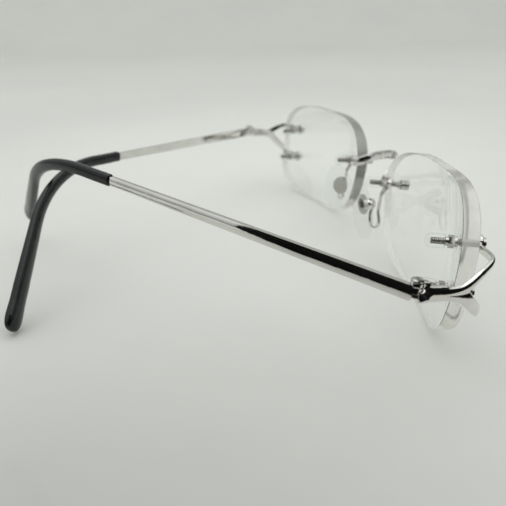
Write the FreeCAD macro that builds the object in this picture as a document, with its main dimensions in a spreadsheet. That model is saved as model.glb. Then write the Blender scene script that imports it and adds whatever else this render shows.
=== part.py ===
import FreeCAD, Part
import math
import os

import Sketcher
from FreeCAD import Placement, Rotation, Vector

# Rimless eyeglasses lying on a table with both temples half folded and crossed.
# Units are millimetres.  +X is the wearer's left, +Y runs from the lenses towards the ears, +Z is up.
# The origin lies on the table, in the mid-plane, under the front of the lenses.
# Everything at the front is modelled on the wearer's left and mirrored to the right.

DIMENSIONS = [
    # lens, edged from a round meniscus blank
    ("lens_a", 54.0, "reference width of the lens outline"),
    ("lens_b", 33.6, "reference height of the lens outline"),
    ("lens_skew", -0.029, "outline harmonic 2: leans the outline towards the nose"),
    ("lens_taper_u", -0.019, "outline harmonic 3: nasal end fuller than the temporal end"),
    ("lens_taper_v", 0.020, "outline harmonic 3: bottom fuller than the top"),
    ("lens_square", -0.061, "outline harmonic 4: squares the corners"),
    ("lens_centre_x", 37.2, "lens centre from the mid-plane"),
    ("lens_centre_z", 16.09, "lens centre above the table"),
    ("lens_front_radius", 93.5, "radius of the front surface"),
    ("lens_back_radius", 72.5, "radius of the back surface, shorter: a minus lens"),
    ("lens_core", 2.4, "thickness at the lens centre"),
    ("lens_blank_radius", 30.0, "radius of the round blank"),
    ("lens_tilt", 6.2, "degrees, bottom of the lens leans towards the cheeks"),
    ("lens_wrap", 10.0, "degrees, outer edge turned towards the temples"),
    ("lens_bevel", 0.2, "rounding of the lens rims"),
    ("hole_radius", 0.75, "drilled holes"),
    # outer mounting: two studs through each lens
    ("outer_u", 20.1, "outer holes from the lens centre, towards the temple"),
    ("outer_upper_v", 5.5, "upper outer hole above the lens centre"),
    ("outer_lower_v", -4.6, "lower outer hole, below the lens centre"),
    ("stud_radius", 0.6, "threaded studs and screws, over the thread"),
    ("stud_reach", 5.0, "stud end behind the back surface"),
    ("eyelet_radius", 1.8, "round end of each fork prong"),
    ("eyelet_thick", 1.0, "thickness of that round end"),
    ("washer_thick", 0.2, "clear washer under the eyelet and under the nut"),
    ("washer_radius", 1.5, "clear washer"),
    ("nut_radius", 1.3, "widest ring of a nut"),
    ("nut_length", 2.2, "length of a nut"),
    ("cap_radius", 1.4, "clear cap over the stud end"),
    ("cap_length", 3.75, "length of that cap"),
    ("cap_wall_tip", 1.1, "solid tip of the cap"),
    ("outer_head_radius", 1.25, "slotted head of an outer screw"),
    ("outer_head_thick", 0.6, "thickness of that head"),
    ("thread_play", 0.01, "radial gap between a thread and its nut, cap or washer"),
    ("washer_sink", 0.6, "a washer blank starts this far inside the lens before it is fitted"),
    # nose side: one screw through each lens
    ("inner_u", 23.6, "nasal hole from the lens centre, towards the nose"),
    ("inner_v", 4.8, "nasal hole above the lens centre"),
    ("inner_head_radius", 1.3, "grooved round head in front of the lens"),
    ("inner_head_length", 2.0, "length of that head"),
    ("foot_gap", 0.55, "clear washer between the lens and the bridge foot"),
    ("foot_radius", 1.5, "round foot of the bridge"),
    ("foot_thick", 0.8, "thickness of that foot"),
    ("inner_nut_length", 1.7, "nut behind the bridge foot"),
    ("inner_nut_radius", 1.15, "radius of that nut"),
    ("inner_reach", 5.65, "screw end behind the back surface"),
    # bridge and pad arms
    ("bridge_high", 2.4, "height of the bridge bar"),
    ("bridge_thick", 1.1, "thickness of the bridge bar"),
    ("bridge_crown_z", 26.2, "top of the arch above the table"),
    ("bridge_crown_y", -4.6, "how far the arch stands forward"),
    ("arm_strap_width", 2.3, "pad arm where it leaves the bridge foot, flattened to a strap"),
    ("arm_strap_length", 4.0, "the strap narrows to the wire over this length"),
    ("arm_wire_radius", 0.45, "pad arm wire"),
    ("arm_bend_radius", 1.15, "radius of the U at the bottom of the arm"),
    ("pad_box_x", 10.6, "pad box centre from the mid-plane"),
    ("pad_box_y", 6.5, "pad box centre behind the lens fronts"),
    ("pad_box_z", 15.2, "pad box centre above the table"),
    ("pad_yaw", 34.0, "degrees, pad face turned from the nose towards the eye"),
    ("pad_splay", 13.5, "degrees, pad tops lean together"),
    ("box_radius", 1.55, "pad box, a round cup"),
    ("box_depth", 2.2, "depth of the cup"),
    ("box_slot", 1.7, "slot in the cup for the pad lug"),
    ("pivot_radius", 0.4, "pad screw shank"),
    ("pivot_play", 0.05, "radial clearance of the lug on the pad screw"),
    ("pivot_head_radius", 0.65, "slotted head of the pad screw"),
    ("pivot_head_thick", 0.35, "thickness of that head"),
    ("lug_width", 1.5, "pad lug"),
    ("plate_high", 5.5, "oval core plate in the pad"),
    ("plate_wide", 4.2, "width of that plate"),
    ("plate_thick", 0.4, "thickness of that plate"),
    ("plate_offset", 2.0, "near face of the plate from the pad screw"),
    ("pad_high", 17.2, "length of the soft pad"),
    ("pad_wide", 8.6, "width of the soft pad"),
    ("pad_thick", 1.9, "thickness of the soft pad"),
    ("pad_cover", 0.7, "soft pad on the box side of its plate"),
    ("pad_drop", 1.1, "pad centre below its plate"),
    ("pad_shift", 0.5, "pad centre behind its plate's"),
    ("pad_rounding", 0.85, "rounding around the pad"),
    # hinge
    ("hinge_x", 68.1, "hinge axis from the mid-plane"),
    ("hinge_y", 23.0, "hinge axis behind the lens fronts"),
    ("hinge_z", 20.65, "hinge middle above the table"),
    ("hinge_lean", 7.56, "degrees, hinge axes lean forward at the top"),
    ("knuckle_radius", 1.15, "hinge barrel"),
    ("hinge_high", 2.9, "height of the three knuckles together"),
    ("knuckle_high", 0.94, "height of the temple's middle knuckle"),
    ("knuckle_play", 0.05, "gap above and below the middle knuckle"),
    ("pin_radius", 0.55, "hinge screw shank"),
    ("pin_play", 0.04, "radial clearance of the middle knuckle on the screw"),
    ("pin_head_radius", 1.1, "slotted head of the hinge screw"),
    ("pin_head_thick", 0.5, "thickness of that head"),
    ("slot_width", 0.3, "screwdriver slots"),
    ("butt_gap", 0.05, "half the gap between the temple and the endpiece when open"),
    ("bar_offset", 0.7, "middle of the bars outside the hinge axis"),
    ("bar_drop", 0.6, "middle of the bars below the hinge middle"),
    ("leaf_length", 12.0, "hinge leaf along the temple"),
    ("leaf_thick", 0.8, "thickness of the hinge leaf"),
    ("leaf_high", 2.0, "height of the hinge leaf"),
    # endpiece
    ("end_high", 3.1, "height of the endpiece at the hinge"),
    ("end_thick", 1.5, "thickness of the endpiece at the hinge"),
    ("upper_prong_high", 1.6, "height of the upper prong past the fork"),
    ("lower_prong_high", 2.2, "height of the lower prong past the fork"),
    ("prong_thick", 0.9, "thickness of both prongs"),
    # temples
    ("bar_length", 69.5, "metal bar from the hinge to the tip sleeve"),
    ("bar_high", 2.8, "height of the bar at the hinge"),
    ("bar_high_rear", 2.0, "height of the bar at the sleeve"),
    ("bar_thick", 1.5, "thickness of the bar at the hinge"),
    ("bar_thick_rear", 1.3, "thickness of the bar at the sleeve"),
    ("straight_length", 78.6, "straight part, from the hinge to the bend"),
    ("bend_length", 28.4, "length of the bend behind the ear"),
    ("bend_down", 41.6, "degrees, how far the bend turns down"),
    ("bend_in", 33.5, "degrees, how far the bend turns inwards"),
    ("end_length", 26.8, "straight end after the bend"),
    ("core_high", 1.1, "wire core inside the sleeve"),
    ("core_thick", 0.9, "thickness of that core"),
    ("core_short", 9.0, "the core stops this far before the sleeve's end"),
    ("sleeve_high", 2.75, "height of the sleeve where it starts"),
    ("sleeve_thick", 2.2, "thickness of the sleeve where it starts"),
    ("paddle_high", 4.7, "height of the flattened sleeve end"),
    ("paddle_thick", 2.7, "thickness of the flattened sleeve end"),
    ("paddle_length", 50.0, "the sleeve widens to the paddle over this length"),
    ("paddle_rounding", 2.0, "length of the rounded end"),
    # rest pose
    ("fold_right", 44.8, "degrees the right temple is folded in"),
    ("fold_left", 46.6, "degrees the left temple is folded in"),
    ("rise_right", 2.7, "degrees the right temple stands above the hinge plane"),
    ("rise_left", -0.1, "degrees the left temple hangs below the hinge plane"),
]

LEFT, RIGHT = 1, -1
SHOULDER = 0.55  # share of a bar's half thickness where its domed face meets the flat top
WIRE_ACROSS = "dims.arm_wire_radius + 0.001"  # an oval must be a little longer than it is wide
MIDDLE = Vector(0, 0, 0)
MID_PLANE = Vector(1, 0, 0)

os.makedirs("parts", exist_ok=True)
doc = FreeCAD.newDocument("Eyeglasses")
sheet = doc.addObject("Spreadsheet::Sheet", "dims")
for row, (alias, value, note) in enumerate(DIMENSIONS, start=1):
    sheet.set(f"A{row}", note)
    sheet.set(f"B{row}", str(value))
    sheet.setAlias(f"B{row}", alias)
doc.recompute()
dim = {alias: float(sheet.get(alias)) for alias, _, _ in DIMENSIONS}
nodes = []


# ---- frames -------------------------------------------------------------------------------------

def lens_frame():
    """Left lens: x towards the temple, y from front to back along the optical axis, z up."""
    turn = Rotation(Vector(1, 0, 0), dim["lens_tilt"]) * Rotation(Vector(0, 0, 1), dim["lens_wrap"])
    return Placement(Vector(dim["lens_centre_x"], 0, dim["lens_centre_z"]), turn)


def hinge_frame(side):
    """Hinge: z along the hinge axis, y straight back; x stays the wearer's left on both sides."""
    place = Vector(side * dim["hinge_x"], dim["hinge_y"], dim["hinge_z"])
    return Placement(place, Rotation(Vector(1, 0, 0), dim["hinge_lean"]))


def surface_depth(radius, u, v):
    """How far a surface of this radius lies behind its vertex at (u, v)."""
    return radius - math.sqrt(radius ** 2 - u ** 2 - v ** 2)


def hole_frame(u, v, square_to_front):
    """Hole in the left lens: origin on the front surface, y along the hole towards the back."""
    depth = surface_depth(dim["lens_front_radius"], u, v)
    if square_to_front:
        vertex_to_hole = Vector(u, depth - dim["lens_front_radius"], v)
        turn = Rotation(Vector(0, -1, 0), vertex_to_hole)
    else:
        turn = Rotation()
    return lens_frame() * Placement(Vector(u, depth, v), turn)


def pad_frame():
    """Left pad: origin on the pad screw, x towards the nose, y along the screw, z up the pad."""
    turn = (Rotation(Vector(0, 0, 1), 180 - dim["pad_yaw"])
            * Rotation(Vector(0, 1, 0), dim["pad_splay"]))
    return Placement(Vector(dim["pad_box_x"], dim["pad_box_y"], dim["pad_box_z"]), turn)


def lens_thickness(u, v):
    return (dim["lens_core"] + surface_depth(dim["lens_back_radius"], u, v)
            - surface_depth(dim["lens_front_radius"], u, v))


# ---- building blocks ----------------------------------------------------------------------------

def node(feature, label):
    """Name a finished sub-part; its label is also the name of its file."""
    feature.Label = label
    nodes.append(feature)
    return feature


def origin_plane(body, role):
    return next(feature for feature in body.Origin.OriginFeatures if feature.Role == role)


def body_sketch(body, name, role):
    sketch = body.newObject("Sketcher::SketchObject", name)
    sketch.AttachmentSupport = [(origin_plane(body, role), "")]
    sketch.MapMode = "FlatFace"
    return sketch


def pin_point(sketch, edge, x_size, z_size):
    """Hold the start of an edge at a place given by two expressions; "0" puts it on the axis."""
    for kind, axis, size in (("DistanceX", -2, x_size), ("DistanceY", -1, z_size)):
        if size == "0":
            sketch.addConstraint(Sketcher.Constraint("PointOnObject", edge, 1, axis))
        else:
            value = sheet.evalExpression(size)
            index = sketch.addConstraint(Sketcher.Constraint(kind, edge, 1, value))
            sketch.setExpression(f"Constraints[{index}]", size)


def polygon(sketch, corners):
    """Closed outline of straight edges through corners given as pairs of expressions."""
    points = [Vector(sheet.evalExpression(x), sheet.evalExpression(y), 0) for x, y in corners]
    for start, end in zip(points, points[1:] + points[:1]):
        sketch.addGeometry(Part.LineSegment(start, end), False)
    for edge in range(len(points)):
        sketch.addConstraint(Sketcher.Constraint("Coincident", edge, 2, (edge + 1) % len(points), 1))
    for edge, (x, y) in enumerate(corners):
        pin_point(sketch, edge, x, y)


def turned(name, corners):
    """A body turned around its Y axis from a profile of (radius, distance along the axis)."""
    body = doc.addObject("PartDesign::Body", name)
    profile = body_sketch(body, name + "_profile", "XY_Plane")
    polygon(profile, corners)
    turn = body.newObject("PartDesign::Revolution", name + "_turned")
    turn.Profile = profile
    turn.ReferenceAxis = (profile, ["V_Axis"])
    turn.Angle = 360
    return body


def round_far_rim(body, length, radius):
    """Round the rim at the far end of a turned body."""
    doc.recompute()
    solid = body.Tip
    rims = [f"Edge{index + 1}" for index, edge in enumerate(solid.Shape.Edges)
            if edge.BoundBox.YMin > length - 0.01]
    rounding = body.newObject("PartDesign::Fillet", body.Name + "_rounding")
    rounding.Base = (solid, rims)
    rounding.setExpression("Radius", radius)


def cylinder(name, radius, length, placement):
    """A cylinder along the placement's y axis."""
    rod = doc.addObject("Part::Cylinder", name)
    rod.setExpression("Radius", radius)
    rod.setExpression("Height", length)
    rod.Placement = placement * Placement(Vector(), Rotation(Vector(1, 0, 0), -90))
    return rod


def fused(name, shapes):
    fuse = doc.addObject("Part::MultiFuse", name)
    fuse.Shapes = shapes
    return fuse


def cut(name, base, tool):
    result = doc.addObject("Part::Cut", name)
    result.Base = base
    result.Tool = tool
    return result


def mirrored(source, name):
    """The wearer's right-hand copy of a left-hand part."""
    copy = doc.addObject("Part::Mirroring", name)
    copy.Source = source
    copy.Base = MIDDLE
    copy.Normal = MID_PLANE
    return copy


def linked(source, name, placement):
    """Another identical piece at its own place."""
    copy = doc.addObject("App::Link", name)
    copy.LinkedObject = source
    copy.LinkTransform = False
    copy.Placement = placement
    return copy


def group(name, pieces):
    compound = doc.addObject("Part::Compound", name)
    compound.Links = pieces
    return compound


def both_sides(name, pieces):
    """One node that holds these left-hand pieces and their mirror images."""
    one_side = group(name + "_one_side", pieces)
    return node(group(name, [one_side, mirrored(one_side, name + "_other_side")]), name)


def slab_section(name, placement, high, thick, domed_inside=False):
    """Cross-section of a bar: sketch x outwards, sketch y up, the outer face domed."""
    sketch = doc.addObject("Sketcher::SketchObject", name)
    half_high, half_thick = sheet.evalExpression(high) / 2, sheet.evalExpression(thick) / 2
    shoulder = half_thick * SHOULDER
    inner = -shoulder if domed_inside else -half_thick
    bottom_out, top_out = Vector(shoulder, -half_high, 0), Vector(shoulder, half_high, 0)
    top_in, bottom_in = Vector(inner, half_high, 0), Vector(inner, -half_high, 0)
    outer, top, inside, bottom = range(4)
    sketch.addGeometry(Part.Arc(bottom_out, Vector(half_thick, 0, 0), top_out), False)
    sketch.addGeometry(Part.LineSegment(top_out, top_in), False)
    if domed_inside:
        sketch.addGeometry(Part.Arc(top_in, Vector(-half_thick, 0, 0), bottom_in), False)
    else:
        sketch.addGeometry(Part.LineSegment(top_in, bottom_in), False)
    sketch.addGeometry(Part.LineSegment(bottom_in, bottom_out), False)
    for join in ((outer, 2, top, 1), (top, 2, inside, 1), (inside, 2, bottom, 1), (bottom, 2, outer, 1)):
        sketch.addConstraint(Sketcher.Constraint("Coincident", *join))
    sketch.addConstraint(Sketcher.Constraint("Symmetric", outer, 1, outer, 2, -1))
    sketch.addConstraint(Sketcher.Constraint("Horizontal", top))
    sketch.addConstraint(Sketcher.Constraint("Horizontal", bottom))
    sag = f"({thick}) * {(1 - SHOULDER) / 2}"
    dome = f"((({high}) / 2)^2 + ({sag})^2) / (2 * {sag})"
    sizes = [(("DistanceY", outer, 1, outer, 2), high),
             (("DistanceX", -1, 1, outer, 2), f"({thick}) * {SHOULDER / 2}"),
             (("Radius", outer), dome)]
    if domed_inside:
        across_top = f"({thick}) * {SHOULDER}"
        sizes += [(("DistanceX", top, 2, top, 1), across_top),
                  (("DistanceX", bottom, 1, bottom, 2), across_top), (("Radius", inside), dome)]
    else:
        sketch.addConstraint(Sketcher.Constraint("Vertical", inside))
        sizes.append((("DistanceX", top, 2, top, 1), f"({thick}) * {(1 + SHOULDER) / 2}"))
    for size, expression in sizes:
        index = sketch.addConstraint(Sketcher.Constraint(*size, sheet.evalExpression(expression)))
        sketch.setExpression(f"Constraints[{index}]", expression)
    sketch.Placement = placement
    return sketch


def across(point, outward, up):
    """Placement of a cross-section at a point, from its outward and upward directions."""
    normal = outward.cross(up).normalize()
    up = normal.cross(outward).normalize()
    return Placement(point, Rotation(outward, up, normal, "ZYX"))


def spine(name, wire):
    path = doc.addObject("Part::Feature", name)
    path.Shape = wire
    return path


def swept(name, path, sections):
    """A solid swept along every edge of a path through one or more cross-sections."""
    sweep = doc.addObject("Part::Sweep", name)
    sweep.Sections = sections
    sweep.Spine = (path, [f"Edge{index + 1}" for index in range(len(path.Shape.Edges))])
    sweep.Solid = True
    sweep.Frenet = False
    return sweep


def smooth_wire(points):
    curve = Part.BSplineCurve()
    curve.interpolate(points)
    return Part.Wire(curve.toShape())


# ---- lenses -------------------------------------------------------------------------------------

def lens_outline():
    """Closed curve through points of the outline formula: an ellipse with four harmonics."""
    points = []
    for index in range(32):
        angle = 2 * math.pi * index / 32
        swell = (1 + dim["lens_skew"] * math.sin(2 * angle)
                 + dim["lens_taper_u"] * math.cos(3 * angle)
                 + dim["lens_taper_v"] * math.sin(3 * angle)
                 + dim["lens_square"] * math.cos(4 * angle))
        u = dim["lens_a"] / 2 * math.cos(angle) * swell
        v = dim["lens_b"] / 2 * math.sin(angle) * swell
        points.append(Vector(u, v, 0))
    curve = Part.BSplineCurve()
    curve.interpolate(Points=points, PeriodicFlag=True)
    return curve


def lens_blank():
    """Round minus meniscus, turned around the optical axis."""
    body = doc.addObject("PartDesign::Body", "lens_blank")
    sketch = body_sketch(body, "lens_profile", "XY_Plane")
    rim = dim["lens_blank_radius"]
    front_rim = Vector(rim, surface_depth(dim["lens_front_radius"], rim, 0), 0)
    back_vertex = Vector(0, dim["lens_core"], 0)
    back_rim = Vector(rim, dim["lens_core"] + surface_depth(dim["lens_back_radius"], rim, 0), 0)
    half_front = Vector(rim / 2, surface_depth(dim["lens_front_radius"], rim / 2, 0), 0)
    half_back = Vector(rim / 2, dim["lens_core"] + surface_depth(dim["lens_back_radius"], rim / 2, 0), 0)
    sketch.addGeometry(Part.Arc(MIDDLE, half_front, front_rim), False)
    sketch.addGeometry(Part.LineSegment(front_rim, back_rim), False)
    sketch.addGeometry(Part.Arc(back_vertex, half_back, back_rim), False)
    sketch.addGeometry(Part.LineSegment(back_vertex, MIDDLE), False)
    front, edge, back, axis = range(4)
    joins = [(front, 2, edge, 1), (edge, 2, back, 2), (back, 1, axis, 1), (axis, 2, front, 1),
             (axis, 2, -1, 1)]
    for join in joins:
        sketch.addConstraint(Sketcher.Constraint("Coincident", *join))
    for arc, radius in ((front, "dims.lens_front_radius"), (back, "dims.lens_back_radius")):
        sketch.addConstraint(Sketcher.Constraint("PointOnObject", arc, 3, -2))
        size = sketch.addConstraint(Sketcher.Constraint("Radius", arc, sheet.evalExpression(radius)))
        sketch.setExpression(f"Constraints[{size}]", radius)
    sketch.addConstraint(Sketcher.Constraint("Vertical", edge))
    width = sketch.addConstraint(Sketcher.Constraint("DistanceX", edge, 1, dim["lens_blank_radius"]))
    sketch.setExpression(f"Constraints[{width}]", "dims.lens_blank_radius")
    core = sketch.addConstraint(Sketcher.Constraint("DistanceY", axis, 2, axis, 1, dim["lens_core"]))
    sketch.setExpression(f"Constraints[{core}]", "dims.lens_core")
    turn = body.newObject("PartDesign::Revolution", "lens_turned")
    turn.Profile = sketch
    turn.ReferenceAxis = (sketch, ["V_Axis"])
    turn.Angle = 360
    body.Placement = lens_frame()
    return body


def hole_drill(name, frame):
    """Long drill through a lens or an eyelet, along the hole."""
    start = Placement(Vector(0, -5, 0), Rotation())
    return cylinder(name, "dims.hole_radius", "14", frame * start)


def edged_lens():
    outline = doc.addObject("Sketcher::SketchObject", "lens_outline")
    outline.addGeometry(lens_outline(), False)
    outline.Placement = lens_frame() * Placement(Vector(), Rotation(Vector(1, 0, 0), 90))
    prism = doc.addObject("Part::Extrusion", "lens_edger")
    prism.Base = outline
    prism.DirMode = "Normal"
    prism.LengthFwd = 40
    prism.Symmetric = True
    prism.Solid = True
    edged = doc.addObject("Part::Common", "lens_edged")
    edged.Base = lens_blank()
    edged.Tool = prism
    doc.recompute()
    smoothed = doc.addObject("Part::Fillet", "lens_smoothed")
    smoothed.Base = edged
    rims = [index + 1 for index, edge in enumerate(edged.Shape.Edges) if edge.Length > dim["lens_a"]]
    smoothed.Edges = [(rim, dim["lens_bevel"], dim["lens_bevel"]) for rim in rims]
    drills = [hole_drill(f"{name}_drill", frame) for name, frame in HOLES.items()]
    return node(cut("lens_left", smoothed, fused("lens_drills", drills)), "lens_left")


HOLES = {
    "upper": hole_frame(dim["outer_u"], dim["outer_upper_v"], square_to_front=True),
    "lower": hole_frame(dim["outer_u"], dim["outer_lower_v"], square_to_front=True),
    "inner": hole_frame(-dim["inner_u"], dim["inner_v"], square_to_front=False),
}
BACK_OF_LENS = {
    "upper": lens_thickness(dim["outer_u"], dim["outer_upper_v"]),
    "lower": lens_thickness(dim["outer_u"], dim["outer_lower_v"]),
    "inner": lens_thickness(dim["inner_u"], dim["inner_v"]),
}


def along(hole, distance):
    """A place on a hole's axis, this far behind the lens's front surface."""
    return HOLES[hole] * Placement(Vector(0, distance, 0), Rotation())


def behind(hole, distance):
    """A place on a hole's axis, this far behind the lens's back surface."""
    return along(hole, BACK_OF_LENS[hole] + distance)


# ---- screws, nuts, washers and caps -------------------------------------------------------------

def slotted(name, screw, head_radius, at):
    """Cut a screwdriver slot across the head; the head's face is at the placement's origin."""
    slot = doc.addObject("Part::Box", name + "_slot")
    slot.setExpression("Length", f"2.4 * {head_radius}")
    slot.setExpression("Width", "dims.slot_width")
    slot.setExpression("Height", "dims.slot_width")
    head_size = sheet.evalExpression(head_radius)
    centring = Vector(-1.2 * head_size, -0.02, -dim["slot_width"] / 2)
    slot.Placement = at * Placement(centring, Rotation())
    return cut(name, screw, slot)


def outer_screws():
    length = (dim["washer_thick"] + dim["eyelet_thick"] + BACK_OF_LENS["upper"] + dim["stud_reach"])
    shank_end = f"dims.outer_head_thick + {length:.2f}"
    turned_screw = turned("outer_screw", [
        ("0", "0"), ("dims.outer_head_radius", "0"), ("dims.outer_head_radius", "dims.outer_head_thick"),
        ("dims.stud_radius", "dims.outer_head_thick"), ("dims.stud_radius", shank_end), ("0", shank_end)])
    screw = slotted("outer_screw_slotted", turned_screw, "dims.outer_head_radius", Placement())
    start = -dim["outer_head_thick"] - dim["eyelet_thick"] - dim["washer_thick"]
    screw.Placement = along("upper", start)
    second = linked(screw, "outer_screw_lower", along("lower", start))
    return both_sides("outer_screws", [screw, second])


def inner_screws():
    """Nose-side screws: a long round head with a ring groove in front of the lens."""
    length = dim["foot_gap"] + BACK_OF_LENS["inner"] + dim["inner_reach"]
    head, groove = "dims.inner_head_length", "dims.inner_head_radius - 0.25"
    shank_end = f"{head} + {length:.2f}"
    turned_screw = turned("inner_screw", [
        ("0", "0"), ("dims.inner_head_radius - 0.2", "0"), ("dims.inner_head_radius", "0.2"),
        ("dims.inner_head_radius", f"{head} * 0.45"), (groove, f"{head} * 0.5"),
        (groove, f"{head} * 0.62"), ("dims.inner_head_radius", f"{head} * 0.67"),
        ("dims.inner_head_radius", head), ("dims.stud_radius", head),
        ("dims.stud_radius", shank_end), ("0", shank_end)])
    screw = slotted("inner_screw_slotted", turned_screw, "dims.inner_head_radius", Placement())
    screw.Placement = along("inner", -dim["foot_gap"] - dim["inner_head_length"])
    return both_sides("inner_screws", [screw])


def nut(name, radius, length):
    """A hexagon on a round base with a narrow collar behind, threaded on the stud."""
    base = cylinder(name + "_base", f"0.8 * {radius}", f"0.25 * {length}", Placement())
    hexagon = doc.addObject("Part::Prism", name + "_hexagon")
    hexagon.Polygon = 6
    hexagon.setExpression("Circumradius", radius)
    hexagon.setExpression("Height", f"0.5 * {length}")
    quarter = sheet.evalExpression(length) / 4
    hexagon.Placement = Placement(Vector(0, quarter, 0), Rotation(Vector(1, 0, 0), -90))
    collar = cylinder(name + "_collar", f"0.65 * {radius}", f"0.25 * {length}",
                      Placement(Vector(0, 3 * quarter, 0), Rotation()))
    bore = cylinder(name + "_bore", "dims.stud_radius + dims.thread_play", length, Placement())
    return cut(name, fused(name + "_solid", [base, hexagon, collar]), bore)


def nuts():
    outer = nut("outer_nut", "dims.nut_radius", "dims.nut_length")
    outer.Placement = behind("upper", dim["washer_thick"])
    second = linked(outer, "outer_nut_lower", behind("lower", dim["washer_thick"]))
    both_sides("outer_nuts", [outer, second])
    inner = nut("inner_nut", "dims.inner_nut_radius", "dims.inner_nut_length")
    inner.Placement = behind("inner", dim["foot_gap"] + dim["foot_thick"])
    both_sides("inner_nuts", [inner])


def washer(name, frame, radius, thick, lens):
    """A soft clear washer that takes the shape of the lens it is pressed on."""
    disc = cylinder(name + "_disc", radius, thick, frame)
    bore = cylinder(name + "_bore", "dims.stud_radius + dims.thread_play", thick, frame)
    return cut(name, disc, fused(name + "_fit", [bore, lens]))


def washers(lens):
    sink = dim["washer_sink"]
    outer = []
    for hole in ("upper", "lower"):
        outer.append(washer(f"front_washer_{hole}", along(hole, -dim["washer_thick"]),
                            "dims.washer_radius", "dims.washer_thick + dims.washer_sink", lens))
        outer.append(washer(f"back_washer_{hole}", behind(hole, -sink),
                            "dims.washer_radius", "dims.washer_thick + dims.washer_sink", lens))
    both_sides("outer_washers", outer)
    inner = [washer("front_washer_inner", along("inner", -dim["foot_gap"]),
                    "dims.inner_head_radius", "dims.foot_gap + dims.washer_sink", lens),
             washer("back_washer_inner", behind("inner", -sink),
                    "dims.inner_head_radius", "dims.foot_gap + dims.washer_sink", lens)]
    both_sides("inner_washers", inner)


def caps():
    """Clear bullet-shaped caps pushed over the stud ends."""
    cap_bore = "dims.stud_radius + dims.thread_play"
    depth = "dims.cap_length - dims.cap_wall_tip"
    body = turned("cap", [
        (cap_bore, "0"), ("dims.cap_radius", "0"), ("dims.cap_radius", "dims.cap_length"),
        ("0", "dims.cap_length"), ("0", depth), (cap_bore, depth)])
    round_far_rim(body, dim["cap_length"], "dims.cap_radius * 0.85")
    start_outer = dim["washer_thick"] + dim["nut_length"]
    start_inner = dim["foot_gap"] + dim["foot_thick"] + dim["inner_nut_length"]
    body.Placement = behind("upper", start_outer)
    lower = linked(body, "cap_lower", behind("lower", start_outer))
    inner = linked(body, "cap_inner", behind("inner", start_inner))
    return both_sides("stud_caps", [body, lower, inner])


# ---- bridge and nose pads -----------------------------------------------------------------------

def bridge():
    """Flat arched bar that ends in a round foot behind each lens."""
    foot_centre = behind("inner", dim["foot_gap"] + dim["foot_thick"] / 2).Base
    turn_in = foot_centre + Vector(-2.1, 0.55, 0.1)
    edge_pass = foot_centre + Vector(-3.7, -0.9, 0.5)
    rise = foot_centre + Vector(-5.3, -3.7, 1.8)
    crown = Vector(0, dim["bridge_crown_y"], dim["bridge_crown_z"] - dim["bridge_high"] / 2)
    shoulder = Vector(rise.x * 0.5, rise.y * 0.3 + crown.y * 0.7, rise.z * 0.28 + crown.z * 0.72)
    half = [foot_centre, turn_in, edge_pass, rise, shoulder]
    other_half = [Vector(-point.x, point.y, point.z) for point in reversed(half)]
    path = spine("bridge_path", smooth_wire(half + [crown] + other_half))
    start_direction = path.Shape.Edges[0].tangentAt(path.Shape.Edges[0].FirstParameter)
    backwards = Vector(0, 0, 1).cross(start_direction).normalize()
    section = slab_section("bridge_section", across(foot_centre, backwards, Vector(0, 0, 1)),
                           "dims.bridge_high", "dims.bridge_thick", domed_inside=True)
    bar = swept("bridge_bar", path, [section])
    foot = cylinder("bridge_foot", "dims.foot_radius", "dims.foot_thick",
                    behind("inner", dim["foot_gap"]))
    other_foot = mirrored(foot, "bridge_other_foot")
    nut_seat = cylinder("bridge_nut_seat", "dims.foot_radius + 0.1", "3",
                        behind("inner", dim["foot_gap"] + dim["foot_thick"]))
    washer_seat = cylinder("bridge_washer_seat", "dims.foot_radius + 0.1", "dims.foot_gap",
                           behind("inner", 0))
    room = fused("bridge_room", [hole_drill("bridge_drill", HOLES["inner"]), nut_seat, washer_seat])
    solid = fused("bridge_solid", [bar, foot, other_foot])
    drilled = fused("bridge_rooms", [room, mirrored(room, "bridge_other_room")])
    node(cut("bridge", solid, drilled), "bridge")
    return foot


def pad_box():
    """Round cup with a slot for the pad's lug, open towards the nose."""
    frame = pad_frame()
    cup_frame = frame * Placement(Vector(dim["box_depth"] * 0.4, 0, 0), Rotation(Vector(0, 0, 1), 90))
    cup = turned("pad_cup", [("0", "0"), ("dims.box_radius", "0"),
                             ("dims.box_radius", "dims.box_depth"), ("0", "dims.box_depth")])
    round_far_rim(cup, dim["box_depth"], "dims.box_depth * 0.5")
    cup.Placement = cup_frame
    slot_floor = Vector(dim["box_depth"] / 2 - dim["lug_width"] / 2 - dim["pivot_play"] * 2, 0, 0)
    slot = centred_block("pad_box_slot", ("dims.box_depth", "dims.box_slot", "4 * dims.box_radius"),
                         frame * Placement(slot_floor, Rotation()))
    bore = cylinder("pad_box_bore", "dims.pivot_radius + dims.thread_play", "4 * dims.box_radius",
                    frame * Placement(Vector(0, -2 * dim["box_radius"], 0), Rotation()))
    box = node(cut("pad_box_left", cup, fused("pad_box_cuts", [slot, bore])), "pad_box_left")
    node(mirrored(box, "pad_box_right"), "pad_box_right")
    return cup


def pad_screws():
    head = "dims.pivot_head_thick"
    end = f"{head} + 2 * dims.box_radius"
    turned_screw = turned("pad_screw", [
        ("0", "0"), ("dims.pivot_head_radius", "0"), ("dims.pivot_head_radius", head),
        ("dims.pivot_radius", head), ("dims.pivot_radius", end), ("0", end)])
    screw = slotted("pad_screw_slotted", turned_screw, "dims.pivot_head_radius", Placement())
    start = Vector(0, -dim["box_radius"] - dim["pivot_head_thick"], 0)
    screw.Placement = pad_frame() * Placement(start, Rotation())
    return both_sides("pad_screws", [screw])


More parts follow.
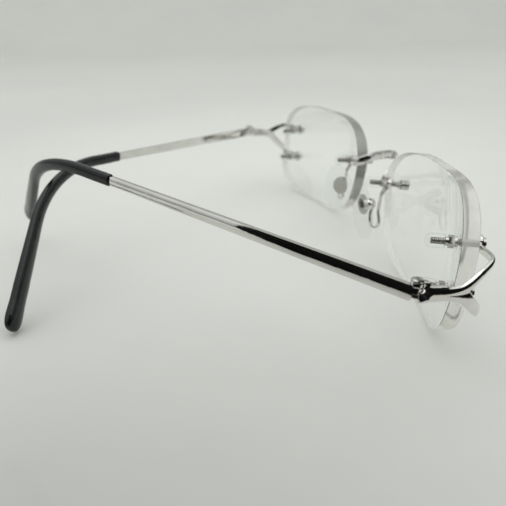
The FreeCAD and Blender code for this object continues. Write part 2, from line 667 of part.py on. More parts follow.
def pad_arm(bridge_foot, cup):
    """Strap from the bridge foot, narrowing to a wire that runs down, round a U and up to the pad box."""
    foot = behind("inner", dim["foot_gap"] + dim["foot_thick"] / 2).Base
    box_end = pad_frame().multVec(Vector(-0.3 * dim["box_depth"], 0, -0.55 * dim["box_radius"]))
    low = Vector(dim["pad_box_x"] + 2.2, dim["pad_box_y"] - 0.6, dim["pad_box_z"] - 5.8)
    curve = Part.BSplineCurve()
    towards_lens = Vector(0.58, -0.81, 0)
    u_bend = []
    for angle in (math.pi / 2, math.pi / 4, 0, -math.pi / 4, -math.pi / 2):
        turned_by = towards_lens * math.sin(angle) + Vector(0, 0, 1 - math.cos(angle))
        u_bend.append(low + turned_by * dim["arm_bend_radius"])
    curve.interpolate([foot + Vector(0, 0.1, -0.9), foot + Vector(-0.1, 1.4, -2.6),
                       foot + Vector(-0.1, 1.9, -5.2), foot + Vector(0, 2.2, -8.2),
                       *u_bend, low + Vector(-1.1, 0.9, 3.0), box_end])
    strap_end = curve.parameterAtDistance(dim["arm_strap_length"])
    wide = arm_section("pad_arm_wide", curve, curve.FirstParameter, "dims.arm_strap_width / 2")
    round_end = arm_section("pad_arm_strap_end", curve, strap_end, WIRE_ACROSS)
    strap = swept("pad_arm_strap", part_of_curve("strap", curve, curve.FirstParameter, strap_end),
                  [wide, round_end])
    wire_start = arm_section("pad_arm_wire_start", curve, strap_end, WIRE_ACROSS)
    wire = swept("pad_arm_wire", part_of_curve("wire", curve, strap_end, curve.LastParameter), [wire_start])
    nut_room = cylinder("pad_arm_nut_room", "dims.inner_nut_radius + 0.05", "dims.inner_nut_length + 0.05",
                        behind("inner", dim["foot_gap"] + dim["foot_thick"]))
    arm = node(cut("pad_arm_left", fused("pad_arm_solid", [strap, wire]),
                   fused("pad_arm_ends", [bridge_foot, cup, nut_room])), "pad_arm_left")
    node(mirrored(arm, "pad_arm_right"), "pad_arm_right")


def part_of_curve(name, curve, first, last):
    piece = curve.copy()
    piece.segment(first, last)
    return spine(f"pad_arm_{name}_path", Part.Wire(piece.toShape()))


def arm_section(name, curve, parameter, half_width):
    """Oval across the pad arm, widest along x."""
    along_arm = curve.tangent(parameter)[0]
    section = doc.addObject("Part::Ellipse", name)
    section.setExpression("MajorRadius", half_width)
    section.setExpression("MinorRadius", "dims.arm_wire_radius")
    turn = Rotation(MID_PLANE, along_arm.cross(MID_PLANE), along_arm, "ZXY")
    section.Placement = Placement(curve.value(parameter), turn)
    return section


def oval(name, high, wide, thick, placement):
    """An oval plate: long axis along z, thickness along x, from the placement's origin."""
    rim = doc.addObject("Part::Ellipse", name + "_rim")
    rim.setExpression("MajorRadius", f"{high} / 2")
    rim.setExpression("MinorRadius", f"{wide} / 2")
    facing = Rotation(Vector(0, 0, 1), Vector(0, -1, 0), Vector(1, 0, 0), "ZXY")
    rim.Placement = placement * Placement(Vector(), facing)
    plate = doc.addObject("Part::Extrusion", name)
    plate.Base = rim
    plate.DirMode = "Custom"
    plate.Dir = placement.Rotation.multVec(Vector(1, 0, 0))
    plate.setExpression("LengthFwd", thick)
    plate.Solid = True
    return plate


def nose_pad():
    """Soft pad over an oval core plate, with a lug that rocks on the pad screw."""
    frame = pad_frame()
    near_face = frame * Placement(Vector(dim["plate_offset"], 0, 0), Rotation())
    plate = oval("pad_plate", "dims.plate_high", "dims.plate_wide", "dims.plate_thick", near_face)
    lug = centred_block("pad_lug", ("dims.plate_offset", "dims.lug_width", "dims.lug_width"),
                        frame * Placement(Vector(dim["plate_offset"] / 2, 0, 0), Rotation()))
    half_lug = Placement(Vector(0, -dim["lug_width"] / 2, 0), Rotation())
    lug_end = cylinder("pad_lug_end", "dims.lug_width / 2", "dims.lug_width", frame * half_lug)
    bore = cylinder("pad_lug_bore", "dims.pivot_radius + dims.pivot_play", "dims.lug_width",
                    frame * half_lug)
    core_solid = fused("pad_core_solid", [plate, lug, lug_end])
    core = node(cut("pad_core_left", core_solid, bore), "pad_core_left")
    pad_corner = Vector(-dim["pad_cover"], -dim["pad_shift"], -dim["pad_drop"])
    lowered = near_face * Placement(pad_corner, Rotation())
    cushion = oval("pad_cushion", "dims.pad_high", "dims.pad_wide", "dims.pad_thick", lowered)
    doc.recompute()
    rounded = doc.addObject("Part::Fillet", "pad_rounded")
    rounded.Base = cushion
    rims = [index + 1 for index, edge in enumerate(cushion.Shape.Edges) if edge.Length > dim["pad_high"]]
    rounded.Edges = [(rim, dim["pad_rounding"], dim["pad_rounding"]) for rim in rims]
    pad = node(cut("nose_pad_left", rounded, core), "nose_pad_left")
    node(mirrored(core, "pad_core_right"), "pad_core_right")
    node(mirrored(pad, "nose_pad_right"), "nose_pad_right")


# ---- endpieces ----------------------------------------------------------------------------------

def prong(name, hole, high, waypoints):
    """Bar from the hinge to one outer hole, narrowing at the fork and then even to the lens."""
    frame = hinge_frame(LEFT)
    start = frame.multVec(Vector(dim["bar_offset"], -dim["butt_gap"], -dim["bar_drop"]))
    next_point = frame.multVec(Vector(dim["bar_offset"], -dim["butt_gap"] - 2.5, -dim["bar_drop"]))
    eyelet = along(hole, -dim["washer_thick"] - dim["eyelet_thick"] / 2)
    approach = eyelet.multVec(Vector(2.4, 0.1, 0))
    path = spine(name + "_path", smooth_wire([start, next_point] + waypoints + [approach, eyelet.Base]))
    outward, up = frame.Rotation.multVec(Vector(1, 0, 0)), frame.Rotation.multVec(Vector(0, 0, 1))
    at_hinge = slab_section(name + "_root", across(start, outward, up), "dims.end_high", "dims.end_thick")
    forward, upward = eyelet.Rotation.multVec(Vector(0, -1, 0)), eyelet.Rotation.multVec(Vector(0, 0, 1))
    at_lens = slab_section(name + "_tip", across(eyelet.Base, forward, upward), high, "dims.prong_thick")
    curve = path.Shape.Edges[0].Curve
    direction = curve.tangent(curve.parameter(waypoints[1]))[0]
    outward = direction.cross(Vector(0, 0, 1))
    outward = outward if outward.x > 0 else -outward
    upward = outward.cross(direction)
    upward = upward if upward.z > 0 else -upward
    past_fork = slab_section(name + "_waist", across(waypoints[1], outward.normalize(), upward), high,
                             "dims.prong_thick")
    bar = swept(name, path, [at_hinge, past_fork, at_lens])
    disc = cylinder(name + "_eyelet", "dims.eyelet_radius", "dims.eyelet_thick",
                    along(hole, -dim["washer_thick"] - dim["eyelet_thick"]))
    return [bar, disc]


def endpiece():
    """Fork that holds the lens at two holes and carries the outer hinge knuckles."""
    frame = hinge_frame(LEFT)
    crotch = Vector(dim["hinge_x"] + 0.8, dim["hinge_y"] - 8.4, dim["hinge_z"] - 1.3)
    upper = prong("upper_prong", "upper", "dims.upper_prong_high", [
        crotch + Vector(0, 0, 0.4), crotch + Vector(-1.3, -4.1, 2.3), crotch + Vector(-3.9, -7.6, 3.1)])
    lower = prong("lower_prong", "lower", "dims.lower_prong_high", [
        crotch + Vector(0, 0, -0.8), crotch + Vector(-0.8, -2.5, -3.3), crotch + Vector(-4.7, -6.4, -6.8)])
    knuckles = cylinder_up("end_knuckles", "dims.knuckle_radius", "dims.hinge_high", frame)
    web = centred_block("end_web", ("dims.bar_offset + dims.leaf_thick", "2.2", "dims.hinge_high"),
                        frame * Placement(Vector(-dim["leaf_thick"] / 2 + dim["bar_offset"] / 2 - 0.05,
                                                 -1.2, 0), Rotation()))
    gap = cylinder_up("end_knuckle_gap", "dims.knuckle_radius + 2 * dims.knuckle_play",
                      "dims.knuckle_high + 2 * dims.knuckle_play", frame)
    bore = cylinder_up("end_bore", "dims.pin_radius + dims.thread_play", "2 * dims.hinge_high", frame)
    room = []
    for hole in ("upper", "lower"):
        room.append(hole_drill(f"endpiece_drill_{hole}", HOLES[hole]))
        room.append(cylinder(f"endpiece_washer_seat_{hole}", "dims.eyelet_radius + 0.1", "1.2",
                             along(hole, -dim["washer_thick"])))
        room.append(cylinder(f"endpiece_head_seat_{hole}", "dims.outer_head_radius + 0.1", "1.2",
                             along(hole, -dim["washer_thick"] - dim["eyelet_thick"] - 1.2)))
    solid = fused("endpiece_solid", upper + lower + [knuckles, web])
    part = node(cut("endpiece_left", solid, fused("endpiece_cuts", [gap, bore] + room)), "endpiece_left")
    node(mirrored(part, "endpiece_right"), "endpiece_right")
    return part


def cylinder_up(name, radius, height, frame):
    """A cylinder along the hinge axis, centred on the hinge."""
    rod = doc.addObject("Part::Cylinder", name)
    rod.setExpression("Radius", radius)
    rod.setExpression("Height", height)
    half = sheet.evalExpression(height) / 2
    rod.Placement = frame * Placement(Vector(0, 0, -half), Rotation())
    return rod


def centred_block(name, sizes, placement):
    """A box around the placement's origin; sizes are expressions."""
    box = doc.addObject("Part::Box", name)
    for side, size in zip(("Length", "Width", "Height"), sizes):
        box.setExpression(side, size)
    corner = Vector(*[-sheet.evalExpression(size) / 2 for size in sizes])
    box.Placement = placement * Placement(corner, Rotation())
    return box


def hinge_screw():
    head = "dims.pin_head_thick"
    end = f"{head} + dims.hinge_high"
    turned_screw = turned("hinge_screw", [
        ("0", "0"), ("dims.pin_head_radius * 0.8", "0"), ("dims.pin_head_radius", f"{head} * 0.5"),
        ("dims.pin_head_radius", head), ("dims.pin_radius", head), ("dims.pin_radius", end), ("0", end)])
    screw = slotted("hinge_screw_slotted", turned_screw, "dims.pin_head_radius", Placement())
    top = Vector(0, 0, dim["hinge_high"] / 2 + dim["pin_head_thick"])
    screw.Placement = hinge_frame(LEFT) * Placement(top, Rotation(Vector(1, 0, 0), -90))
    node(screw, "hinge_screw_left")
    node(mirrored(screw, "hinge_screw_right"), "hinge_screw_right")


# ---- temples ------------------------------------------------------------------------------------

class Temple:
    """Route and parts of one temple, straight from its hinge, then bent behind the ear."""

    def __init__(self, side, fold, rise):
        self.side = side
        self.name = "left" if side == LEFT else "right"
        self.pose = hinge_frame(side) * Placement(Vector(), Rotation(Vector(0, 0, 1), side * fold))
        self.bar_pose = self.pose * Placement(Vector(), Rotation(Vector(1, 0, 0), rise))
        down, inward = math.radians(dim["bend_down"]), math.radians(dim["bend_in"])
        self.ahead = Vector(0, 1, 0)
        self.after = Vector(-side * math.sin(inward) * math.cos(down),
                            math.cos(inward) * math.cos(down), -math.sin(down))
        self.turn = self.ahead.getAngle(self.after)
        self.turn_axis = self.ahead.cross(self.after).normalize()
        self.radius = dim["bend_length"] / self.turn
        self.total = dim["straight_length"] + dim["bend_length"] + dim["end_length"]

    def at(self, distance):
        """Placement of a cross-section this far along the temple from its hinge."""
        bent = min(max(distance - dim["straight_length"], 0), dim["bend_length"]) / self.radius
        turned_by = Rotation(self.turn_axis, math.degrees(bent))
        into_bend = self.turn_axis.cross(self.ahead)
        straight = min(distance, dim["straight_length"])
        point = Vector(self.side * dim["bar_offset"], straight, -dim["bar_drop"])
        point += (self.ahead * math.sin(bent) + into_bend * (1 - math.cos(bent))) * self.radius
        past_bend = max(distance - dim["straight_length"] - dim["bend_length"], 0)
        point += self.after * past_bend
        outward = turned_by.multVec(Vector(self.side, 0, 0))
        up = turned_by.multVec(Vector(0, 0, 1))
        return self.bar_pose * across(point, outward, up)

    def route(self, name, start, end):
        """Path between two distances: a line, the bend's arc and a line, as far as they reach."""
        bend_start = dim["straight_length"]
        bend_end = bend_start + dim["bend_length"]
        stops = [start] + [stop for stop in (bend_start, bend_end) if start < stop < end] + [end]
        edges = []
        for first, last in zip(stops, stops[1:]):
            begin, finish = self.at(first).Base, self.at(last).Base
            if bend_start <= first < bend_end:
                middle = self.at((first + last) / 2).Base
                edges.append(Part.Arc(begin, middle, finish).toShape())
            else:
                edges.append(Part.LineSegment(begin, finish).toShape())
        return spine(f"{name}_path_{self.name}", Part.Wire(edges))

    def sections(self, name, sizes, domed_inside=False):
        """Cross-sections at several distances: (distance, height, thickness)."""
        return [slab_section(f"{name}_section_{self.name}_{index}", self.at(distance), high, thick,
                             domed_inside)
                for index, (distance, high, thick) in enumerate(sizes)]

    def core(self):
        start, end = dim["bar_length"] - 2, self.total - dim["core_short"]
        size = ("dims.core_high", "dims.core_thick")
        return swept(f"core_{self.name}", self.route("core", start, end),
                     self.sections("core", [(start, *size)]))

    def bar(self, core):
        start, end = dim["butt_gap"], dim["bar_length"]
        blade = swept(f"blade_{self.name}", self.route("blade", start, end), self.sections("blade", [
            (start, "dims.bar_high", "dims.bar_thick"),
            (end, "dims.bar_high_rear", "dims.bar_thick_rear")]))
        room = cylinder_up(f"blade_room_{self.name}", "dims.knuckle_radius + 2 * dims.knuckle_play",
                           "2 * dims.hinge_high", self.pose)
        solid = fused(f"temple_solid_{self.name}", [blade, core])
        return node(cut(f"temple_{self.name}", solid, room), f"temple_{self.name}")

    def leaf(self, bar):
        """Hinge leaf brazed inside the bar, with the middle knuckle and a tapering tail."""
        inside = -self.side * (dim["leaf_thick"] / 2 + 0.05)
        clear = dim["knuckle_radius"] + 4 * dim["knuckle_play"]
        half = dim["leaf_length"] / 2
        lowered = -dim["bar_drop"]
        root = centred_block(f"leaf_root_{self.name}",
                             ("dims.leaf_thick", "dims.leaf_length / 2", "dims.leaf_high"),
                             self.pose * Placement(Vector(inside, clear + half / 2, lowered), Rotation()))
        neck_length = f"{clear + 0.5:.2f}"
        neck = centred_block(f"leaf_neck_{self.name}",
                             ("dims.leaf_thick", neck_length, "dims.knuckle_high"),
                             self.pose * Placement(Vector(inside, (clear + 0.5) / 2, 0), Rotation()))
        tail = doc.addObject("Part::Wedge", f"leaf_tail_{self.name}")
        tail.Xmin, tail.Xmax = 0, dim["leaf_thick"]
        tail.X2min, tail.X2max = 0, dim["leaf_thick"] * 0.4
        tail.Ymin, tail.Ymax = 0, dim["leaf_length"] / 2
        tail.Zmin, tail.Zmax = -dim["leaf_high"] / 2, dim["leaf_high"] / 2
        tail.Z2min, tail.Z2max = -dim["leaf_high"] / 4, dim["leaf_high"] / 4
        flip = Rotation(Vector(0, 1, 0), 180) if self.side == LEFT else Rotation()
        tail.Placement = self.pose * Placement(Vector(-self.side * 0.05, clear + half, lowered), flip)
        knuckle = cylinder_up(f"leaf_knuckle_{self.name}", "dims.knuckle_radius", "dims.knuckle_high",
                              self.pose)
        bore = cylinder_up(f"leaf_bore_{self.name}", "dims.pin_radius + dims.pin_play",
                           "dims.hinge_high", self.pose)
        solid = fused(f"leaf_solid_{self.name}", [root, neck, tail, knuckle])
        tools = fused(f"leaf_cuts_{self.name}", [bore, bar])
        return node(cut(f"hinge_leaf_{self.name}", solid, tools), f"hinge_leaf_{self.name}")

    def sleeve(self, core):
        """Dark plastic sleeve over the wire core, flattened into a paddle at its end."""
        start, end = dim["bar_length"], self.total
        paddle_start = end - dim["paddle_length"]
        rounding = dim["paddle_rounding"]
        stations = [start + (end - rounding - start) * step / 16 for step in range(17)]
        stations += [end - rounding * (1 - math.sin(math.radians(angle))) for angle in (35, 60, 80, 90)]
        sizes = []
        for distance in stations:
            spread = min(max((distance - paddle_start) / dim["paddle_length"], 0), 1)
            swell = spread * spread * (3 - 2 * spread)
            ending = min((end - distance) / rounding, 1)
            close = max(math.sqrt(1 - (1 - ending) ** 2), 0.2)
            size = "{0:.4f} * (dims.sleeve_{2} + {1:.4f} * (dims.paddle_{2} - dims.sleeve_{2}))"
            sizes.append((distance, size.format(close, swell, "high"), size.format(close, swell, "thick")))
        skin = doc.addObject("Part::Loft", f"sleeve_{self.name}")
        skin.Sections = self.sections("sleeve", sizes, domed_inside=True)
        skin.Solid = True
        return node(cut(f"temple_tip_{self.name}", skin, core), f"temple_tip_{self.name}")


def temple(side, fold, rise):
    build = Temple(side, fold, rise)
    core = build.core()
    bar = build.bar(core)
    build.leaf(bar)
    build.sleeve(core)


# ---- assembly -----------------------------------------------------------------------------------

lens = edged_lens()
node(mirrored(lens, "lens_right"), "lens_right")
outer_screws()
inner_screws()
nuts()
washers(lens)
caps()
bridge_foot = bridge()
cup = pad_box()
pad_screws()
pad_arm(bridge_foot, cup)
nose_pad()
endpiece()
hinge_screw()
temple(LEFT, dim["fold_left"], dim["rise_left"])
temple(RIGHT, dim["fold_right"], dim["rise_right"])
doc.recompute()

failed = [feature.Name for feature in doc.Objects if {"Invalid", "Error"} & set(feature.State)]
if failed:
    raise RuntimeError(f"features failed: {failed}")
for part in nodes:
    if part.Shape.isNull() or not part.Shape.isValid() or not part.Shape.Solids:
        raise RuntimeError(f"{part.Label} has no valid solid")
for part in nodes:
    part.Shape.exportStep(f"parts/{part.Label}.step")
    print(part.Label, len(part.Shape.Solids), round(part.Shape.Volume, 2))
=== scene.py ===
import math

import bpy
import numpy as np
from mathutils import Matrix, Vector


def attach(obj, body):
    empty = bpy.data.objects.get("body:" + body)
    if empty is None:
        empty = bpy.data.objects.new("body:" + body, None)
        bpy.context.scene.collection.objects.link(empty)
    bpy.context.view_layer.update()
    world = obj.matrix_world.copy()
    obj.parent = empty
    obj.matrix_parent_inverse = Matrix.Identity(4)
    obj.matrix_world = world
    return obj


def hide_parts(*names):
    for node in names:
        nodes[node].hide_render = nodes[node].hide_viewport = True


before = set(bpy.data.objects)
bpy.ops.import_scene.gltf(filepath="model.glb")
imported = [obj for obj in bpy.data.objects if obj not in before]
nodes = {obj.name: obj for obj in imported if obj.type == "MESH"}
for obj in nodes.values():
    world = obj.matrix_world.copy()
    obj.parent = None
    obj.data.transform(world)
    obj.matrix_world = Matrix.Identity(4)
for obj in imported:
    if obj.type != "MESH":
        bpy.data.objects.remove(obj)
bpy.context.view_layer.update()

# Rimless eyeglasses on a pale table, both temples half folded and crossed.
# Everything is in metres, in the frame of the CAD part: +X the wearer's left, +Y towards the ears, +Z up.

MM = 0.001

# front vertex of the left lens, its radii and its thickness there, in millimetres
LENS_VERTEX = (37.2, 0.0, 16.09)
FRONT_RADIUS, BACK_RADIUS, CORE = 93.5, 72.5, 2.4
LENS_AXIS = {"left": Vector((-0.1736, 0.9790, 0.1064)), "right": Vector((0.1736, 0.9790, 0.1064))}
LENS_IOR, RIM_IOR = 1.53, 1.5

# how finely a softened CAD piece is remeshed, in millimetres, and how often it is smoothed
SOFTENING = {"temple_tip": (0.25, 14), "endpiece": (0.10, 10)}

# length of a screw's head, in millimetres: the thread starts under it
HEAD_LENGTH = {"outer": 0.6, "inner": 2.0}


# ---- node helpers ---------------------------------------------------------------------------------

class Shader:
    """A material's node tree, with short calls to add and join nodes."""

    def __init__(self, name):
        self.material = bpy.data.materials.new(name)
        self.material.use_nodes = True
        self.tree = self.material.node_tree
        self.tree.nodes.clear()
        self.output = self.tree.nodes.new("ShaderNodeOutputMaterial")
        self.place = self.add("ShaderNodeTexCoord").outputs["Object"]

    def add(self, kind, inputs=None, **settings):
        node = self.tree.nodes.new(kind)
        for name, value in settings.items():
            setattr(node, name, value)
        for name, value in (inputs or {}).items():
            self.set(node.inputs[name], value)
        return node

    def set(self, socket, value):
        if isinstance(value, bpy.types.NodeSocket):
            self.tree.links.new(value, socket)
        else:
            socket.default_value = value

    def maths(self, operation, first, second=0.0):
        node = self.add("ShaderNodeMath", operation=operation)
        self.set(node.inputs[0], first)
        self.set(node.inputs[1], second)
        return node.outputs[0]

    def noise(self, size, detail=4.0, roughness=0.5, stretch=(1, 1, 1), turn=(0, 0, 0)):
        """Noise with features about this size in metres."""
        mapping = self.add("ShaderNodeMapping", {"Vector": self.place, "Scale": stretch, "Rotation": turn})
        node = self.add("ShaderNodeTexNoise", {"Vector": mapping.outputs[0], "Scale": 1 / size,
                                               "Detail": detail, "Roughness": roughness})
        return node.outputs["Fac"]

    def spread(self, value, low, high, from_low=0.3, from_high=0.7):
        node = self.add("ShaderNodeMapRange", {"Value": value, "From Min": from_low, "From Max": from_high,
                                               "To Min": low, "To Max": high})
        return node.outputs[0]

    def ease(self, value, low, high, from_low, from_high):
        """Like spread, but without a crease where it starts and ends."""
        ends = {"From Min": from_low, "From Max": from_high, "To Min": low, "To Max": high}
        node = self.add("ShaderNodeMapRange", {"Value": value, **ends}, interpolation_type="SMOOTHSTEP")
        return node.outputs[0]

    def blend(self, factor, first, second):
        node = self.add("ShaderNodeMix", data_type="RGBA")
        self.set(node.inputs["Factor"], factor)
        self.set(node.inputs["A"], first)
        self.set(node.inputs["B"], second)
        return node.outputs["Result"]

    def bump(self, height, strength, distance):
        node = self.add("ShaderNodeBump", {"Height": height, "Strength": strength, "Distance": distance})
        return node.outputs[0]

    def surface(self, shader):
        self.tree.links.new(shader, self.output.inputs["Surface"])

    def principled(self, **inputs):
        named = {name.replace("_", " "): value for name, value in inputs.items()}
        return self.add("ShaderNodeBsdfPrincipled", named).outputs[0]

    def let_light_through(self, shader, tint):
        """Clear pieces let light pass straight on to what they shade."""
        path = self.add("ShaderNodeLightPath")
        clear = self.add("ShaderNodeBsdfTransparent", {"Color": tint})
        mix = self.add("ShaderNodeMixShader", {"Fac": path.outputs["Is Shadow Ray"]})
        self.tree.links.new(shader, mix.inputs[1])
        self.tree.links.new(clear.outputs[0], mix.inputs[2])
        self.surface(mix.outputs[0])


# ---- materials ------------------------------------------------------------------------------------

def polished_metal(name, light, dark, smooth, scuffed):
    """Bright nickel-silver: faint clouding, hairline polishing marks and slight ripple."""
    s = Shader(name)
    clouds = s.noise(0.006, 3.0)
    hairlines = s.noise(0.00035, 5.0, 0.6, stretch=(1, 1, 14), turn=(0.2, 0.4, 0.1))
    ripple = s.noise(0.004, 2.0)
    colour = s.blend(s.spread(clouds, 0, 1), dark, light)
    wear = s.maths("ADD", s.maths("MULTIPLY", clouds, 0.5), s.maths("MULTIPLY", hairlines, 0.5))
    roughness = s.spread(wear, smooth, scuffed)
    height = s.maths("ADD", s.maths("MULTIPLY", hairlines, 0.15), ripple)
    s.surface(s.principled(Base_Color=colour, Metallic=1.0, Roughness=roughness,
                           Normal=s.bump(height, 0.05, 0.0001)))
    return s.material


def clear_layers(s, tint, shine_colour, shine_roughness, ior, milk, milk_colour, normal):
    """Light passes straight through, with a mirror layer that grows at a slant and a little milkiness."""
    extra = {"Normal": normal}
    clear = s.add("ShaderNodeBsdfTransparent", {"Color": tint})
    milky = s.add("ShaderNodeBsdfDiffuse", {"Color": milk_colour, **extra})
    shine = s.add("ShaderNodeBsdfAnisotropic", {"Color": shine_colour, "Roughness": shine_roughness, **extra})
    inside = s.add("ShaderNodeNewGeometry").outputs["Backfacing"]
    # a mirror layer seen from inside the piece is as faint as from outside, because nothing is bent
    slant = s.add("ShaderNodeFresnel", {"IOR": s.spread(inside, ior, 1 / ior, 0, 1), **extra})
    body = s.add("ShaderNodeMixShader", {"Fac": milk, 1: clear.outputs[0], 2: milky.outputs[0]})
    return s.add("ShaderNodeMixShader", {"Fac": slant.outputs[0], 1: body.outputs[0], 2: shine.outputs[0]})


def lens_normal(s, side):
    """Exact direction of the front or back sphere of a lens, towards the side it is looked at from."""
    front = Vector((LENS_VERTEX[0] * (1 if side == "left" else -1), *LENS_VERTEX[1:]))
    axis = LENS_AXIS[side]
    front_centre = (front + axis * FRONT_RADIUS) * MM
    back_centre = (front + axis * (CORE + BACK_RADIUS)) * MM
    from_front = s.add("ShaderNodeVectorMath", {0: s.place, 1: front_centre}, operation="SUBTRACT")
    to_back = s.add("ShaderNodeVectorMath", {0: back_centre, 1: s.place}, operation="SUBTRACT")
    geometry = s.add("ShaderNodeNewGeometry")
    outward = s.add("ShaderNodeVectorMath", {0: geometry.outputs["True Normal"], 1: axis},
                    operation="DOT_PRODUCT")
    flip = s.spread(geometry.outputs["Backfacing"], 1, -1, 0, 1)
    behind = s.maths("GREATER_THAN", s.maths("MULTIPLY", outward.outputs["Value"], flip), 0.0)
    choice = s.add("ShaderNodeMix", data_type="VECTOR")
    s.set(choice.inputs["Factor"], behind)
    s.set(choice.inputs["A"], from_front.outputs[0])
    s.set(choice.inputs["B"], to_back.outputs[0])
    unit = s.add("ShaderNodeVectorMath", {0: choice.outputs["Result"]}, operation="NORMALIZE")
    seen = s.add("ShaderNodeVectorMath", {0: unit.outputs[0]}, operation="SCALE")
    s.set(seen.inputs["Scale"], flip)
    return seen.outputs[0]


def lens_glass(side):
    """Clear lens with faint smears and dust; its ground rim is frosted and milky, with painted shade along
    the corners where the rim meets the faces.
    """
    s = Shader("lens_glass_" + side)
    normal = s.add("ShaderNodeTexCoord").outputs["Normal"]
    facing = s.add("ShaderNodeVectorMath", operation="DOT_PRODUCT")
    s.set(facing.inputs[0], normal)
    s.set(facing.inputs[1], LENS_AXIS[side])
    squareness = s.maths("ABSOLUTE", facing.outputs["Value"])
    rim = s.spread(squareness, 1, 0, 0.45, 0.8)
    # painted shade: a band where the rim meets the faces, made milkier and dark grey below to draw a dark
    # outline
    painted_corner_shade = s.maths("MULTIPLY", s.spread(squareness, 0, 1, 0.2, 0.5), s.spread(squareness, 1, 0, 0.75, 0.93))
    smears = s.noise(0.012, 3.0, 0.6, stretch=(1, 1, 0.4))
    grinding = s.noise(0.0006, 3.0, 0.6, stretch=(1, 8, 1))
    dust = s.spread(s.noise(0.0007, 2.0, 0.5), 0, 1, 0.74, 0.78)
    dull = s.maths("ADD", s.spread(smears, 0.0, 0.01), s.maths("MULTIPLY", dust, 0.05))
    face = s.principled(Base_Color=(0.985, 0.995, 0.99, 1), IOR=LENS_IOR, Transmission_Weight=1.0,
                        Normal=lens_normal(s, side), Roughness=dull)
    # milkiness of the ground rim, raised along the corners as part of the painted shade there
    frost_and_corner_shade = s.maths("MAXIMUM", s.spread(s.noise(0.010, 2.0), 0.20, 0.40), s.maths("MULTIPLY", painted_corner_shade, 0.5))
    # the rim's milk turns dark grey along the corners: painted shade
    edge = clear_layers(s, (0.955, 0.955, 0.94, 1), (1.0, 0.99, 0.96, 1),
                        s.spread(grinding, 0.12, 0.28), RIM_IOR, frost_and_corner_shade,
                        s.blend(painted_corner_shade, (0.90, 0.885, 0.85, 1), (0.42, 0.42, 0.40, 1)),
                        s.bump(grinding, 0.12, 0.00004))
    both = s.add("ShaderNodeMixShader", {"Fac": rim, 1: face, 2: edge.outputs[0]})
    s.let_light_through(both.outputs[0], (0.97, 0.98, 0.97, 1))
    return s.material


def clear_soft(name, tint, ior, smooth, cloudy, milk):
    """Clear silicone or moulded plastic: wavy surface, small clouds, and painted shade along its outline
    where it is seen edge on, milkier and dark grey there.
    """
    s = Shader(name)
    clouds = s.noise(0.003, 4.0, 0.6)
    pores = s.noise(0.0003, 3.0, 0.6)
    slant = s.add("ShaderNodeLayerWeight", {"Blend": 0.5}).outputs["Facing"]
    # painted shade: where the piece is seen edge on it is made milkier, a dark outline that changes with the
    # view
    outline = s.spread(slant, 0, 1, 0.72, 0.98)
    haze_and_outline_shade = s.maths("ADD", s.spread(clouds, milk * 0.5, milk * 1.5), s.maths("MULTIPLY", outline, 0.75))
    milky = s.blend(clouds, (0.74, 0.76, 0.73, 1), (0.88, 0.89, 0.87, 1))
    # the milk colour turns dark grey along the outline: painted shade
    layers = clear_layers(s, tint, (1, 1, 1, 1), s.spread(clouds, smooth, cloudy), ior, haze_and_outline_shade,
                          s.blend(outline, milky, (0.30, 0.31, 0.29, 1)), s.bump(pores, 0.08, 0.00004))
    s.let_light_through(layers.outputs[0], (0.96, 0.97, 0.96, 1))
    return s.material


def dark_sleeve():
    """Glossy near-black plastic with the ripple of moulding and fine handling marks."""
    s = Shader("dark_sleeve")
    clouds = s.noise(0.009, 3.0)
    specks = s.noise(0.0004, 4.0, 0.65)
    marks = s.noise(0.0012, 5.0, 0.6, stretch=(1, 1, 9), turn=(0.5, 0.2, 0.9))
    colour = s.blend(s.spread(clouds, 0, 1), (0.003, 0.0035, 0.004, 1), (0.007, 0.008, 0.0095, 1))
    worn = s.spread(marks, 0, 0.4, 0.62, 0.72)
    height = s.maths("ADD", s.maths("MULTIPLY", specks, 0.3), clouds)
    s.surface(s.principled(Base_Color=s.blend(worn, colour, (0.022, 0.023, 0.026, 1)),
                           Roughness=s.spread(clouds, 0.15, 0.23), IOR=1.42,
                           Normal=s.bump(height, 0.12, 0.0002)))
    return s.material


def table_paper():
    """Pale grey-green table top with a faint mottle, and painted shade: darker away from a lit middle and
    towards the spot under the camera.
    """
    s = Shader("table_paper")
    mottle = s.noise(0.02, 5.0, 0.6)
    broad = s.noise(0.15, 2.0)
    colour = s.blend(s.spread(broad, 0, 1), (0.742, 0.752, 0.718, 1), (0.776, 0.781, 0.747, 1))
    colour = s.blend(s.spread(mottle, 0, 0.25), colour, (0.694, 0.708, 0.674, 1))
    # painted shade, cast by no lamp: the colour darkens away from the lit middle and close to the spot under
    # the camera
    lit_middle, shaded_corner = (0.10, 0.03, 0.0), (-0.145, 0.066, 0.0)
    from_middle = s.add("ShaderNodeVectorMath", {0: s.place, 1: lit_middle}, operation="DISTANCE")
    from_corner = s.add("ShaderNodeVectorMath", {0: s.place, 1: shaded_corner}, operation="DISTANCE")
    shade = s.maths("ADD", s.ease(from_middle.outputs["Value"], 0.0, 0.13, 0.0, 0.2),
                    s.ease(from_corner.outputs["Value"], 0.30, 0.0, 0.02, 0.13))
    colour = s.blend(shade, colour, (0.0, 0.0, 0.0, 1))
    s.surface(s.principled(Base_Color=colour, Roughness=0.6, Normal=s.bump(mottle, 0.1, 0.0006)))
    return s.material


def paint(node_names, material):
    for name in node_names:
        piece = nodes[name]
        piece.data.materials.clear()
        piece.data.materials.append(material)


def sides(*names):
    return [f"{name}_{side}" for name in names for side in ("left", "right")]


bright = polished_metal("bright_metal", (0.80, 0.785, 0.76, 1), (0.70, 0.69, 0.665, 1), 0.035, 0.10)
turned = polished_metal("turned_metal", (0.62, 0.605, 0.57, 1), (0.42, 0.41, 0.385, 1), 0.08, 0.22)
